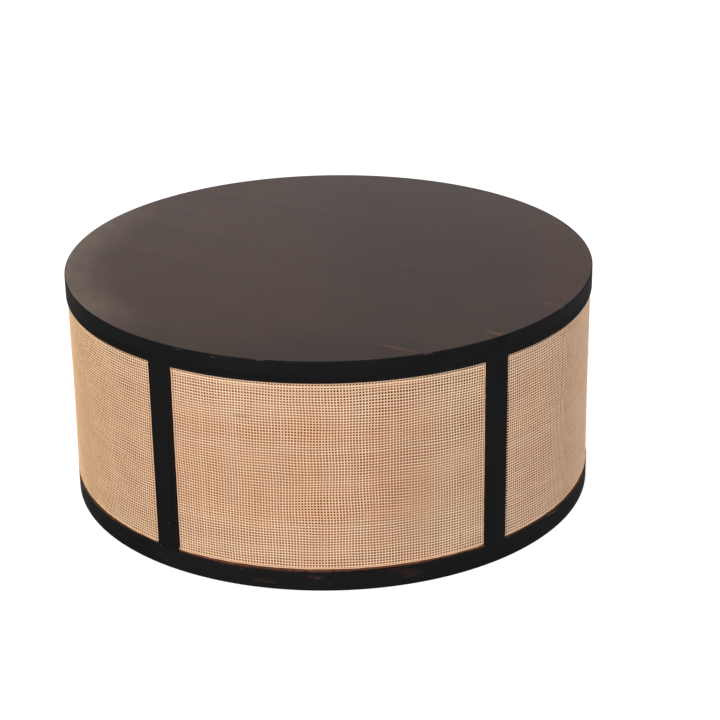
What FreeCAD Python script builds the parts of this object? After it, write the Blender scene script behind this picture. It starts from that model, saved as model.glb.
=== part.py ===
# A round drum coffee table: a top of edge-glued boards on a drum of two segmented rings and five stiles,
# with a bent backing panel and a sheet of woven cane let into the rebates of each of the five bays.
# Millimetres. The origin is on the floor at the middle of the drum, +Z is up and -Y is the front.
import FreeCAD, Part
import math
import os
import Sketcher

Vector = FreeCAD.Vector

SIZES = [
    # The whole table
    ("diameter", 800),
    ("height", 353),
    ("bays", 5),
    # The top: edge-glued boards with a tongue on one edge and a groove in the other
    ("top_thick", 20),
    ("top_ease", 1.2),
    ("board_count", 6),
    ("grain_angle", -32),
    ("board_tongue_thick", 6),
    ("board_tongue_long", 6),
    ("board_tongue_end_gap", 0.5),
    # The drum's timber, as it shows round each bay
    ("band_high", 32.5),
    ("rail_high", 33.5),
    ("stile_wide", 38),
    ("rail_ease", 1),
    # The timber behind the bays, which the backing panels lie on
    ("ring_deep", 40),
    ("ring_lip_high", 14),
    ("stile_deep", 34),
    ("stile_lip_wide", 12),
    ("stile_back_ease", 3),
    # The sheets in the bays
    ("cane_inset", 2),
    ("cane_thick", 1.2),
    ("panel_thick", 3),
    # The joints of the drum
    ("tenon_wide", 36),
    ("tenon_thick", 12),
    ("tenon_long", 16),
    ("mortise_end_gap", 1),
    ("spline_wide", 24),
    ("spline_thick", 6),
    ("spline_long", 30),
    # The two battens across the boards
    ("batten_wide", 40),
    ("batten_high", 22),
    ("batten_place", 150),
    ("batten_end_gap", 8),
    ("batten_end_taper", 12),
    # Clearances: between curved faces, and round a flat-sided fit
    ("fit_gap", 0.3),
    ("joint_gap", 0.2),
    # How far a cut runs past what it cuts
    ("overrun", 5),
]

doc = FreeCAD.newDocument("drum_table")
sheet = doc.addObject("Spreadsheet::Sheet", "sizes")
for row, (alias, size) in enumerate(SIZES, 1):
    sheet.set(f"A{row}", alias)
    sheet.set(f"B{row}", str(size))
    sheet.setAlias(f"B{row}", alias)
doc.recompute()


def value(expression):
    """The number that an expression on the sheet gives now."""
    result = sheet.evalExpression(expression)
    return float(getattr(result, "Value", result))


# Radii, from the timber's outer face inwards
FACE_R = "(sizes.diameter / 2)"
CANE_OUT_R = f"({FACE_R} - sizes.cane_inset)"
CANE_IN_R = f"({CANE_OUT_R} - sizes.cane_thick)"
PANEL_OUT_R = f"({CANE_IN_R} - sizes.fit_gap)"
PANEL_IN_R = f"({PANEL_OUT_R} - sizes.panel_thick)"
SEAT_R = f"({PANEL_IN_R} - sizes.fit_gap)"
LIP_R = f"({SEAT_R} - sizes.fit_gap)"
RING_IN_R = f"({FACE_R} - sizes.ring_deep)"
RING_MID_R = f"(({LIP_R} + {RING_IN_R}) / 2)"
STILE_BACK = f"({FACE_R} - sizes.stile_deep)"
TENON_MID = f"(({STILE_BACK} + {SEAT_R}) / 2)"

# Heights above the floor
TOP_UNDER = "(sizes.height - sizes.top_thick)"
BAY_TOP = "(sizes.height - sizes.band_high)"
BAY_FOOT = "sizes.rail_high"
LIP_TOP = f"({BAY_TOP} - sizes.ring_lip_high)"
LIP_FOOT = f"({BAY_FOOT} + sizes.ring_lip_high)"
UPPER_SPLINE_MID = f"(({LIP_TOP} + {TOP_UNDER}) / 2)"
LOWER_SPLINE_MID = f"({LIP_FOOT} / 2)"
BATTEN_UNDER = f"({TOP_UNDER} - sizes.batten_high)"

# Angles
HALF_BAY = "(180 deg / sizes.bays)"
PANEL_TURN = f"(2 * ({HALF_BAY} - asin((sizes.stile_wide / 2 + sizes.fit_gap) / {PANEL_IN_R})))"
SPLINE_TURN = f"(sizes.spline_long / {RING_MID_R} * 1 rad)"
SLOT_TURN = f"((sizes.spline_long / 2 + sizes.joint_gap) / {RING_MID_R} * 1 rad)"

BAYS = round(value("sizes.bays"))
BOARDS = round(value("sizes.board_count"))
BAY_STEP = math.degrees(math.tau) / BAYS
FRONT = -math.degrees(math.pi / 2)
GRAIN = value("sizes.grain_angle")
HALF_TURN = math.degrees(math.pi)


def new_body(name, turn):
    """A piece of the table, turned about the drum's middle."""
    body = doc.addObject("PartDesign::Body", name)
    body.Label = name
    body.Placement = FreeCAD.Placement(Vector(0, 0, 0), FreeCAD.Rotation(Vector(0, 0, 1), turn))
    return body


def origin(body, role):
    """One of the body's own planes or axes."""
    return next(feature for feature in body.Origin.OriginFeatures if feature.Role == role)


def new_sketch(body, name, role, lift="0", shift="0", turn="0"):
    """A sketch on one of the body's planes: lifted off it, shifted along it, or turned about the drum's axis."""
    sketch = body.newObject("Sketcher::SketchObject", f"{body.Name}_{name}")
    sketch.AttachmentSupport = [(origin(body, role), "")]
    sketch.MapMode = "FlatFace"
    if turn != "0":
        sketch.AttachmentOffset = FreeCAD.Placement(Vector(0, 0, 0), FreeCAD.Rotation(Vector(0, 1, 0), 1))
        sketch.setExpression("AttachmentOffset.Rotation.Angle", turn)
    if lift != "0":
        sketch.setExpression("AttachmentOffset.Base.z", lift)
    if shift != "0":
        sketch.setExpression("AttachmentOffset.Base.x", shift)
    return sketch


def place(sketch, side, end, point, name):
    """Ties one end of a side, or a centre, to a pair of expressions."""
    for way, axis, text in (("DistanceX", -2, point[0]), ("DistanceY", -1, point[1])):
        if text == "0":
            sketch.addConstraint(Sketcher.Constraint("PointOnObject", side, end, axis))
        else:
            label = f"{name}_{way[-1].lower()}"
            number = sketch.addConstraint(Sketcher.Constraint(way, -1, 1, side, end, value(text)))
            sketch.renameConstraint(number, label)
            sketch.setExpression(f"Constraints.{label}", text)


def draw(sketch, points, arcs=None):
    """A closed outline through points. An entry in arcs bends the side that starts at that point:
    it holds the radius and the bend's middle as seen from the chord, out of the outline or into it."""
    arcs = arcs or {}
    first = sketch.GeometryCount
    corners = [Vector(value(across), value(up), 0) for across, up in points]
    count = len(corners)
    for number, corner in enumerate(corners):
        following = corners[(number + 1) % count]
        if number in arcs:
            radius, bulge = value(arcs[number][0]), arcs[number][1]
            chord = following - corner
            square = Vector(chord.y, -chord.x, 0).normalize() * bulge
            rise = radius - math.sqrt(radius ** 2 - chord.Length ** 2 / 4)
            middle = (corner + following) / 2 + square * rise
            edge = Part.Arc(corner, middle, following)
        else:
            edge = Part.LineSegment(corner, following)
        sketch.addGeometry(edge)
    # A sketch runs every arc the same way round, so an arc may start at the corner where its side ends.
    starts = []
    for number, corner in enumerate(corners):
        gaps = [(sketch.getPoint(first + number, end) - corner).Length for end in (1, 2)]
        starts.append(1 if gaps[0] <= gaps[1] else 2)
    for number in range(count):
        this, after = first + number, (number + 1) % count
        place(sketch, this, starts[number], points[number], f"side{this}")
        sketch.addConstraint(Sketcher.Constraint("Coincident", this, 3 - starts[number],
                                                 first + after, starts[after]))
        if number in arcs:
            label = f"radius{this}"
            tied = sketch.addConstraint(Sketcher.Constraint("Radius", this, value(arcs[number][0])))
            sketch.renameConstraint(tied, label)
            sketch.setExpression(f"Constraints.{label}", arcs[number][0])


def draw_circles(sketch, centres, radius):
    """Round holes at pairs of expressions."""
    for centre in centres:
        middle = Vector(value(centre[0]), value(centre[1]), 0)
        number = sketch.addGeometry(Part.Circle(middle, Vector(0, 0, 1), value(radius)))
        place(sketch, number, 3, centre, f"hole{number}")
        tied = sketch.addConstraint(Sketcher.Constraint("Radius", number, value(radius)))
        sketch.renameConstraint(tied, f"radius{number}")
        sketch.setExpression(f"Constraints.radius{number}", radius)


def block(left, right, low, high):
    """The corners of a rectangle, each side an expression."""
    return [(left, low), (right, low), (right, high), (left, high)]


def pad(body, sketch, length, midplane=False):
    """Material as long as the expression says."""
    feature = body.newObject("PartDesign::Pad", f"{sketch.Name}_pad")
    feature.Profile = sketch
    feature.setExpression("Length", length)
    feature.Midplane = midplane
    return feature


def pocket(body, sketch, depth, upward):
    """A cut to the depth that the expression says, above or below its sketch."""
    feature = body.newObject("PartDesign::Pocket", f"{sketch.Name}_pocket")
    feature.Profile = sketch
    feature.setExpression("Length", depth)
    feature.Reversed = upward
    return feature


def turn_about(body, kind, sketch, angle, midplane=False, backward=False):
    """A Revolution or a Groove about the sketch's upright axis."""
    feature = body.newObject(f"PartDesign::{kind}", f"{sketch.Name}_{kind.lower()}")
    feature.Profile = sketch
    feature.ReferenceAxis = (sketch, ["V_Axis"])
    feature.setExpression("Angle", angle)
    feature.Midplane = midplane
    feature.Reversed = backward
    return feature


def mirror(body, originals, role):
    """The same features again on the far side of one of the body's planes."""
    feature = body.newObject("PartDesign::Mirrored", f"{body.Name}_mirrored")
    feature.Originals = originals
    feature.MirrorPlane = (origin(body, role), [""])
    body.Tip = feature
    return feature


def around(body, originals, copies):
    """The same features again, evenly round the drum's axis."""
    feature = body.newObject("PartDesign::PolarPattern", f"{body.Name}_around")
    feature.Originals = originals
    feature.Axis = (origin(body, "Z_Axis"), [""])
    feature.Angle = math.degrees(math.tau)
    feature.Occurrences = copies
    body.Tip = feature
    return feature


def ring_segment(name, outline, turn, mortise_at, mortise_up, spline_mid):
    """One bay's length of a ring, mortised for a stile at its middle and slotted for a loose tongue at its end."""
    body = new_body(name, turn)
    section = new_sketch(body, "section", "XZ_Plane")
    draw(section, outline)
    turn_about(body, "Revolution", section, f"2 * {HALF_BAY}", midplane=True)
    mortise = new_sketch(body, "mortise", "XY_Plane", lift=mortise_at)
    half_thick = "(sizes.tenon_thick / 2 + sizes.joint_gap)"
    half_wide = "(sizes.tenon_wide / 2 + sizes.joint_gap)"
    draw(mortise, block(f"{TENON_MID} - {half_thick}", f"{TENON_MID} + {half_thick}",
                        f"-{half_wide}", half_wide))
    cuts = [pocket(body, mortise, "sizes.tenon_long + sizes.mortise_end_gap", upward=mortise_up)]
    slot = new_sketch(body, "slot", "XZ_Plane", turn=HALF_BAY)
    slot_half = "(sizes.spline_wide / 2 + sizes.fit_gap)"
    slot_rise = "(sizes.spline_thick / 2 + sizes.joint_gap)"
    draw(slot, block(f"{RING_MID_R} - {slot_half}", f"{RING_MID_R} + {slot_half}",
                     f"{spline_mid} - {slot_rise}", f"{spline_mid} + {slot_rise}"))
    cuts.append(turn_about(body, "Groove", slot, SLOT_TURN, backward=True))
    return body, cuts


shrinks = []
pieces = []

# The bays lie between stiles: the first bay is at the front, and a stile stands half a bay to its right.
for number in range(BAYS):
    bay_turn = FRONT + number * BAY_STEP
    stile_turn = bay_turn + BAY_STEP / 2

    # The upper ring: its outer band hangs below the top, and its lip backs the panels' upper edges.
    upper, cuts = ring_segment(
        f"upper_ring_{number + 1}",
        [(RING_IN_R, LIP_TOP), (LIP_R, LIP_TOP), (LIP_R, BAY_TOP), (FACE_R, BAY_TOP),
         (FACE_R, TOP_UNDER), (RING_IN_R, TOP_UNDER)],
        stile_turn, LIP_TOP, True, UPPER_SPLINE_MID)
    cuts.append(mirror(upper, cuts[1:], "XZ_Plane"))
    shrinks.extend(cuts)
    pieces.append(upper)

    # The lower ring stands on the floor, with its bottom edge eased.
    lower, cuts = ring_segment(
        f"lower_ring_{number + 1}",
        [(RING_IN_R, "0"), (f"{FACE_R} - sizes.rail_ease", "0"), (FACE_R, "sizes.rail_ease"),
         (FACE_R, BAY_FOOT), (LIP_R, BAY_FOOT), (LIP_R, LIP_FOOT), (RING_IN_R, LIP_FOOT)],
        stile_turn, LIP_FOOT, False, LOWER_SPLINE_MID)
    cuts.append(mirror(lower, cuts[1:], "XZ_Plane"))
    shrinks.extend(cuts)
    pieces.append(lower)

    # A stile: the core between the lips, the face that laps over them, and a tenon at both ends.
    stile = new_body(f"stile_{number + 1}", stile_turn)
    half_face = "(sizes.stile_wide / 2)"
    half_core = "(sizes.stile_wide / 2 + sizes.stile_lip_wide)"
    core_side = f"sqrt({SEAT_R} ^ 2 - {half_core} ^ 2)"
    core = new_sketch(stile, "core", "XY_Plane", lift=LIP_FOOT)
    draw(core, [(f"{STILE_BACK} + sizes.stile_back_ease", f"-{half_core}"), (core_side, f"-{half_core}"),
                (core_side, half_core), (f"{STILE_BACK} + sizes.stile_back_ease", half_core),
                (STILE_BACK, f"{half_core} - sizes.stile_back_ease"),
                (STILE_BACK, f"-{half_core} + sizes.stile_back_ease")],
         {1: (SEAT_R, 1)})
    pad(stile, core, f"{LIP_TOP} - {LIP_FOOT}")
    face = new_sketch(stile, "face", "XY_Plane", lift=BAY_FOOT)
    face_in = f"sqrt({SEAT_R} ^ 2 - {half_face} ^ 2)"
    face_out = f"sqrt({FACE_R} ^ 2 - {half_face} ^ 2)"
    draw(face, [(face_in, f"-{half_face}"), (face_out, f"-{half_face}"),
                (face_out, half_face), (face_in, half_face)],
         {1: (FACE_R, 1), 3: (SEAT_R, -1)})
    pad(stile, face, f"{BAY_TOP} - {BAY_FOOT}")
    tenon = new_sketch(stile, "tenon", "XY_Plane", lift=f"{LIP_FOOT} - sizes.tenon_long")
    draw(tenon, block(f"{TENON_MID} - sizes.tenon_thick / 2", f"{TENON_MID} + sizes.tenon_thick / 2",
                      "-sizes.tenon_wide / 2", "sizes.tenon_wide / 2"))
    pad(stile, tenon, f"{LIP_TOP} - {LIP_FOOT} + 2 * sizes.tenon_long")
    pieces.append(stile)

    # The sheets of the bay: a bent backing panel on the lips, and the cane over it, just behind the timber's face.
    for name, low_r, high_r in (("back_panel", PANEL_IN_R, PANEL_OUT_R), ("cane_panel", CANE_IN_R, CANE_OUT_R)):
        panel = new_body(f"{name}_{number + 1}", bay_turn)
        section = new_sketch(panel, "section", "XZ_Plane")
        draw(section, block(low_r, high_r, f"{BAY_FOOT} + sizes.fit_gap", f"{BAY_TOP} - sizes.fit_gap"))
        turn_about(panel, "Revolution", section, PANEL_TURN, midplane=True)
        pieces.append(panel)

# A loose tongue lies across each joint between the segments of a ring.
for name, middle in (("upper_ring_splines", UPPER_SPLINE_MID), ("lower_ring_splines", LOWER_SPLINE_MID)):
    splines = new_body(name, FRONT)
    section = new_sketch(splines, "section", "XZ_Plane")
    draw(section, block(f"{RING_MID_R} - sizes.spline_wide / 2", f"{RING_MID_R} + sizes.spline_wide / 2",
                        f"{middle} - sizes.spline_thick / 2", f"{middle} + sizes.spline_thick / 2"))
    one = turn_about(splines, "Revolution", section, SPLINE_TURN, midplane=True)
    around(splines, [one], BAYS)
    pieces.append(splines)

# The top's boards, side by side along the grain, turned to a disc and eased round its upper edge.
BOARD_WIDE = "(sizes.diameter / sizes.board_count)"
TONGUE_LOW = f"({TOP_UNDER} + (sizes.top_thick - sizes.board_tongue_thick) / 2)"
TONGUE_HIGH = f"({TONGUE_LOW} + sizes.board_tongue_thick)"
GROOVE_DEEP = "(sizes.board_tongue_long + sizes.board_tongue_end_gap)"
for number in range(BOARDS):
    near = f"({number} * {BOARD_WIDE} - {FACE_R})"
    far = f"({number + 1} * {BOARD_WIDE} - {FACE_R})"
    # The outermost boards start wider than the disc that they are turned to.
    if number == 0:
        near = f"({near} - sizes.overrun)"
    if number == BOARDS - 1:
        far = f"({far} + sizes.overrun)"
    profile = [(near, TOP_UNDER), (far, TOP_UNDER)]
    if number < BOARDS - 1:
        tip = f"{far} + sizes.board_tongue_long"
        profile += [(far, TONGUE_LOW), (tip, TONGUE_LOW), (tip, TONGUE_HIGH), (far, TONGUE_HIGH)]
    profile += [(far, "sizes.height"), (near, "sizes.height")]
    if number > 0:
        depth = f"{near} + {GROOVE_DEEP}"
        profile += [(near, TONGUE_HIGH), (depth, TONGUE_HIGH), (depth, TONGUE_LOW), (near, TONGUE_LOW)]
    board = new_body(f"top_board_{number + 1}", GRAIN)
    section = new_sketch(board, "section", "YZ_Plane")
    draw(section, profile)
    pad(board, section, "sizes.diameter + 2 * sizes.overrun", midplane=True)

    rim = new_sketch(board, "rim", "XY_Plane", lift=f"{TOP_UNDER} - sizes.overrun")
    outside = f"({FACE_R} + 2 * sizes.overrun)"
    draw(rim, block(f"-{outside}", outside, f"-{outside}", outside))
    draw_circles(rim, [("0", "0")], FACE_R)
    shrinks.append(pocket(board, rim, "sizes.top_thick + 2 * sizes.overrun", upward=True))

    ease = new_sketch(board, "ease", "XZ_Plane")
    inner = f"{FACE_R} - sizes.top_ease"
    low = "sizes.height - sizes.top_ease"
    over = f"{FACE_R} + sizes.overrun"
    above = "sizes.height + sizes.overrun"
    draw(ease, [(inner, "sizes.height"), (FACE_R, low), (over, low), (over, above), (inner, above)])
    shrinks.append(turn_about(board, "Groove", ease, "360 deg"))
    pieces.append(board)

# Two battens under the boards, across the grain, with their ends tapered.
BATTEN_EDGE = "(sizes.batten_place + sizes.batten_wide / 2)"
BATTEN_HALF = f"(sqrt({RING_IN_R} ^ 2 - {BATTEN_EDGE} ^ 2) - sizes.batten_end_gap)"
for number in range(2):
    batten = new_body(f"batten_{number + 1}", GRAIN + number * HALF_TURN)
    side = new_sketch(batten, "side", "YZ_Plane", lift="sizes.batten_place")
    draw(side, [(f"-{BATTEN_HALF}", TOP_UNDER),
                (f"-{BATTEN_HALF}", f"{BATTEN_UNDER} + sizes.batten_end_taper"),
                (f"-{BATTEN_HALF} + sizes.batten_end_taper", BATTEN_UNDER),
                (f"{BATTEN_HALF} - sizes.batten_end_taper", BATTEN_UNDER),
                (BATTEN_HALF, f"{BATTEN_UNDER} + sizes.batten_end_taper"),
                (BATTEN_HALF, TOP_UNDER)])
    pad(batten, side, "sizes.batten_wide", midplane=True)
    pieces.append(batten)

doc.recompute()

faults = [item.Name for item in doc.Objects if {"Invalid", "Error"} & set(item.State)]
faults += [piece.Label for piece in pieces if piece.Shape.isNull() or not piece.Shape.isValid()]
if faults:
    raise RuntimeError(f"These failed: {faults}")
for cut in shrinks:
    if cut.Shape.Volume >= cut.BaseFeature.Shape.Volume:
        raise RuntimeError(f"{cut.Name} cuts nothing")

os.makedirs("parts", exist_ok=True)
for piece in pieces:
    piece.Shape.exportStep(f"parts/{piece.Label}.step")
    box = piece.Shape.BoundBox
    print(piece.Label, len(piece.Shape.Solids), f"{piece.Shape.Volume:.0f}",
          f"{box.ZMin:.2f} {box.ZMax:.2f}")
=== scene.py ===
"""Looks of a round drum coffee table: near-black stained timber round five bays of woven cane.

Everything is in metres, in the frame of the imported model: the drum stands on z = 0 and its axis is z.
Angles round the drum are counted from the front, -Y, towards +X, and an arc is such an angle times the
radius. Bay k is centred at 72 k degrees, so bay 0 faces the camera, and its nodes are number k + 1. A
stile stands half a bay after each bay.
"""

from collections import namedtuple
import math

import bpy
import numpy as np
from mathutils import Matrix, Vector


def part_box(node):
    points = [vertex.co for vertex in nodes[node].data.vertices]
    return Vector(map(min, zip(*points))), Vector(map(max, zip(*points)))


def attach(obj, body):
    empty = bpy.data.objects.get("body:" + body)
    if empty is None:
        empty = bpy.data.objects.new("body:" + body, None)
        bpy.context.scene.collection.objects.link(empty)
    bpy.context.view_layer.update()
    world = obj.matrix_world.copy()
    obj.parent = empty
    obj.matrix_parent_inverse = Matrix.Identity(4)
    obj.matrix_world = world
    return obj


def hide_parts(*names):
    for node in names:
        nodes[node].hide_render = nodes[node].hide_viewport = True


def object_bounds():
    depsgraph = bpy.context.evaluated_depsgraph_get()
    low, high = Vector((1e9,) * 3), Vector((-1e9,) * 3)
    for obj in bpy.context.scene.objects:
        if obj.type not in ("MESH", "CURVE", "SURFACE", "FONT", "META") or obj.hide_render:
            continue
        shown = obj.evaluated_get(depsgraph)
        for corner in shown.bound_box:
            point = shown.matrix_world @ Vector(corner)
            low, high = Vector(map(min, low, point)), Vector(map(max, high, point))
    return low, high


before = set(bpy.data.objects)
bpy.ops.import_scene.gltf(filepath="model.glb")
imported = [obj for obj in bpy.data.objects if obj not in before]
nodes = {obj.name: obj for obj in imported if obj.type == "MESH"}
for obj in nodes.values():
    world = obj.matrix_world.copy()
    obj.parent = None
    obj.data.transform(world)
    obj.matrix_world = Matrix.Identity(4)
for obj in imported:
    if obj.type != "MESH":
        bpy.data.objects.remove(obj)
cad_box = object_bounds()

MM = 0.001
FACE_R = cad_box[1].x  # outer face of the timber
TOP_Z = cad_box[1].z
BAYS = 5
BAY_TURN = 2 * math.pi / BAYS
BOARD_COUNT = 6
BOARD_WIDE = 2 * FACE_R / BOARD_COUNT
GRAIN_TURN = math.radians(-32)  # run of the top's boards
STILE_HALF = 19 * MM

# The cane node's box gives the opening of a bay: the node lies a little clear of the timber round it.
CANE_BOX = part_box("cane_panel_1")
CANE_THICK = 1.2 * MM
CLEAR = 0.3 * MM
CANE_R = -CANE_BOX[0].y - CANE_THICK / 2  # middle of the woven sheet
CANE_HALF = CANE_R * math.asin(CANE_BOX[1].x / -CANE_BOX[0].y)  # half its width along the arc
CANE_LOW, CANE_HIGH = CANE_BOX[0].z, CANE_BOX[1].z
RAIL_HIGH = CANE_LOW - CLEAR
BAND_LOW = CANE_HIGH + CLEAR


class Socket:
    """One output of a shader graph that can be reckoned with."""

    def __init__(self, graph, out):
        self.graph, self.out = graph, out

    def __add__(self, other):
        return self.graph.math("ADD", self, other)

    def __sub__(self, other):
        return self.graph.math("SUBTRACT", self, other)

    def __rsub__(self, other):
        return self.graph.math("SUBTRACT", other, self)

    def __mul__(self, other):
        return self.graph.math("MULTIPLY", self, other)

    def __truediv__(self, other):
        return self.graph.math("DIVIDE", self, other)

    __radd__, __rmul__ = __add__, __mul__


class Graph:
    """The nodes of a new material or world, written as sums."""

    def __init__(self, name, group="materials"):
        self.owner = getattr(bpy.data, group).new(name)
        self.owner.use_nodes = True
        self.tree = self.owner.node_tree
        self.tree.nodes.clear()

    def node(self, kind, **settings):
        made = self.tree.nodes.new("ShaderNode" + kind)
        for key, value in settings.items():
            setattr(made, key, value)
        return made

    def feed(self, socket, value):
        if isinstance(value, Socket):
            self.tree.links.new(value.out, socket)
        elif isinstance(value, tuple) and socket.type == "RGBA":
            socket.default_value = (*value, 1)
        else:
            socket.default_value = value

    def math(self, operation, *values):
        made = self.node("Math", operation=operation)
        for socket, value in zip(made.inputs, values):
            self.feed(socket, value)
        return Socket(self, made.outputs[0])

    def split(self, out):
        made = self.node("SeparateXYZ")
        self.tree.links.new(out, made.inputs[0])
        return [Socket(self, part) for part in made.outputs]

    def place(self):
        """The point on the object in the model's frame, as x, y, z."""
        return self.split(self.node("TexCoord").outputs["Object"])

    def facing(self):
        """The surface's normal, as x, y, z."""
        return self.split(self.node("NewGeometry").outputs["Normal"])

    def turn(self, x, y):
        """The angle round the drum from its front."""
        return self.math("ARCTAN2", x, 0.0 - y)

    def length(self, x, y):
        return self.math("SQRT", x * x + y * y)

    def vector(self, x, y, z):
        made = self.node("CombineXYZ")
        for socket, value in zip(made.inputs, (x, y, z)):
            self.feed(socket, value)
        return Socket(self, made.outputs[0])

    def noise(self, x, y, z, detail=2.0, rough=0.5, bend=0.0):
        """Smooth noise from 0 to 1 that changes over about one unit of x, y and z."""
        made = self.node("TexNoise")
        self.feed(made.inputs["Vector"], self.vector(x, y, z))
        for key, value in (("Scale", 1.0), ("Detail", detail), ("Roughness", rough), ("Distortion", bend)):
            made.inputs[key].default_value = value
        return Socket(self, made.outputs[0])

    def cells(self, x, y, z):
        """The distance to the nearest of a scatter of points, one to each unit cube or so."""
        made = self.node("TexVoronoi")
        self.feed(made.inputs["Vector"], self.vector(x, y, z))
        made.inputs["Scale"].default_value = 1.0
        return Socket(self, made.outputs["Distance"])

    def chance(self, number, seed):
        """A number from 0 to 1 that belongs to a whole number."""
        made = self.node("TexWhiteNoise", noise_dimensions="2D")
        self.feed(made.inputs["Vector"], self.vector(number, seed, 0.0))
        return Socket(self, made.outputs["Value"])

    def attribute(self, name):
        return Socket(self, self.node("Attribute", attribute_name=name).outputs["Fac"])

    def fit(self, value, low, high, to_low=0.0, to_high=1.0):
        """A smooth step from to_low to to_high while value goes from low to high."""
        made = self.node("MapRange", interpolation_type="SMOOTHSTEP")
        for socket, given in zip(made.inputs, (value, low, high, to_low, to_high)):
            self.feed(socket, given)
        return Socket(self, made.outputs[0])

    def between(self, value, low, high, soft):
        """1 between low and high, with soft edges outside them."""
        return self.fit(value, low - soft, low) * self.fit(value, high, high + soft, 1.0, 0.0)

    def patch(self, u, v, middle, reach):
        """1 in the middle of an oval, 0 outside it."""
        du, dv = (u - middle[0]) / reach[0], (v - middle[1]) / reach[1]
        return self.fit(du * du + dv * dv, 0.1, 1.0, 1.0, 0.0)

    def most(self, first, *rest):
        for other in rest:
            first = self.math("MAXIMUM", first, other)
        return first

    def mix(self, share, first, second):
        made = self.node("Mix", data_type="RGBA")
        self.feed(made.inputs[0], share)
        self.feed(made.inputs[6], first)
        self.feed(made.inputs[7], second)
        return Socket(self, made.outputs[2])

    def bump(self, height, distance, strength):
        made = self.node("Bump")
        made.inputs["Strength"].default_value = strength
        made.inputs["Distance"].default_value = distance
        self.feed(made.inputs["Height"], height)
        return Socket(self, made.outputs[0])

    def finish(self, color, rough, normal, **plain):
        """Ends the material. plain holds what is the same all over it."""
        shader = self.node("BsdfPrincipled")
        self.feed(shader.inputs["Base Color"], color)
        self.feed(shader.inputs["Roughness"], rough)
        self.feed(shader.inputs["Normal"], normal)
        for key, value in plain.items():
            shader.inputs[key.replace("_", " ")].default_value = value
        end = self.node("OutputMaterial")
        self.tree.links.new(shader.outputs[0], end.inputs[0])
        return self.owner


def srgb(*values):
    """A colour as a screen shows it, 0 to 1, as the linear light that a shader wants."""
    return tuple(v / 12.92 if v <= 0.04045 else ((v + 0.055) / 1.055) ** 2.4 for v in values)


# The finish of the timber

BLACK = srgb(0.098, 0.098, 0.101)
BLACK_DEEP = srgb(0.082, 0.081, 0.084)
# painted shade: the darkest black, for places painted darker than the stain
BLACK_PAINTED_SHADE = srgb(0.052, 0.056, 0.062)
# painted light: a paler black for places painted lighter
BLACK_PAINTED_LIGHT = srgb(0.135, 0.134, 0.138)
RUBBED = srgb(0.46, 0.305, 0.235)  # where the black is rubbed off
RUBBED_DEEP = srgb(0.30, 0.165, 0.125)

# Worn places on the timber's outer face: middle along the arc and height, and reach both ways, in mm.
ARRIS_WEAR = ((-215, 350.9, 14, 1.0), (-160, 349.6, 3, 1.6), (-108, 352.4, 7, 1.0), (-92, 352.3, 9, 0.8),
              (-53, 351.0, 6, 0.7), (139, 352.0, 9, 1.2), (396, 352.2, 8, 1.0), (-420, 352.0, 6, 1.0))
RAIL_SMEARS = ((-98, 11, 26, 5), (-24, 23, 14, 6), (112, 18, 22, 9), (905, 14, 30, 7))
PALE_DASHES = ((-20, 20.4, 3.6, 0.8), (-2, 11.8, 2.4, 0.5), (-130, 26.9, 1.2, 1.2),
               (-249, 72.8, 1.3, 1.3), (-267, 31.6, 1.3, 1.5), (-256, 10.2, 1.2, 1.2),
               (374, 30.2, 9, 1.8), (388, 28.6, 9, 1.8))


def marks(g, arc, z, table):
    """All the marks of a table of worn places in one mask."""
    return g.most(*(g.patch(arc, z, (at * MM, high * MM), (wide * MM, tall * MM))
                    for at, high, wide, tall in table))


def along_grain(x, y):
    """Places along and across the run of the top's boards."""
    c, s = math.cos(GRAIN_TURN), math.sin(GRAIN_TURN)
    return x * c + y * s, y * c - x * s


def brown_stain(g, x, y, own, own_2):
    """The top's stain: warmer on the left and by the right rim, and deepest right of the middle."""
    broad = g.noise(x * 5.0, y * 5.0, own, 3.0)
    color = g.mix(g.fit(broad, 0.35, 0.65), srgb(0.205, 0.142, 0.105), srgb(0.185, 0.128, 0.092))
    color = g.mix(g.patch(x, y, (0.16, 0.0), (0.24, 0.24)) * 0.7, color, srgb(0.160, 0.108, 0.084))
    color = g.mix(g.fit(x, 0.09, -0.09) * g.fit(y, -0.36, -0.16), color, srgb(0.244, 0.160, 0.118))
    color = g.mix(g.fit(x, 0.29, 0.35), color, srgb(0.232, 0.132, 0.080))
    return g.mix(own_2 * 0.15, color, srgb(0.245, 0.155, 0.110))


# Where the top's left rim has a painted sheen: from and to as angles from the front, and how soft its ends
# are
PAINTED_SHEEN_RIM = (math.radians(-112), math.radians(-64), math.radians(24))

# Streaks where the wood shows through: middle along and across the grain, reach both ways, and share
BARE_STREAKS = ((0.37, -0.14, 0.034, 0.006, 1.0), (0.38, -0.005, 0.020, 0.006, 1.0),
                (0.272, -0.252, 0.040, 0.005, 1.0), (-0.39, 0.02, 0.04, 0.06, 0.5))


def shade_top(g, color, x, y, far, fibre):
    """Paints a sheen on the left rim as a painted highlight, mottles the face redder and cooler, and paints
    shade by the front rim.
    """
    # painted highlight: the left rim is painted pale grey for the sheen it catches
    rim = g.fit(far, 0.318, 0.414) * g.between(g.turn(x, y), *PAINTED_SHEEN_RIM)
    color = g.mix(rim * (0.85 + fibre * 0.3), color, srgb(0.390, 0.325, 0.275))
    redder = g.noise(x * 42.0, y * 21.0, 6.0)
    cooler = g.noise(x * 36.0, y * 18.0, 14.0)
    color = g.mix(g.fit(redder, 0.40, 0.70) * 0.26, color, srgb(0.240, 0.118, 0.086))
    color = g.mix(g.fit(cooler, 0.40, 0.70) * 0.20, color, srgb(0.170, 0.140, 0.132))
    # painted shade: the face is painted darker by the front rim
    return g.mix(g.patch(x, y, (0.0, -0.41), (0.24, 0.13)) * 0.45, color, srgb(0.135, 0.092, 0.068))


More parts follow.
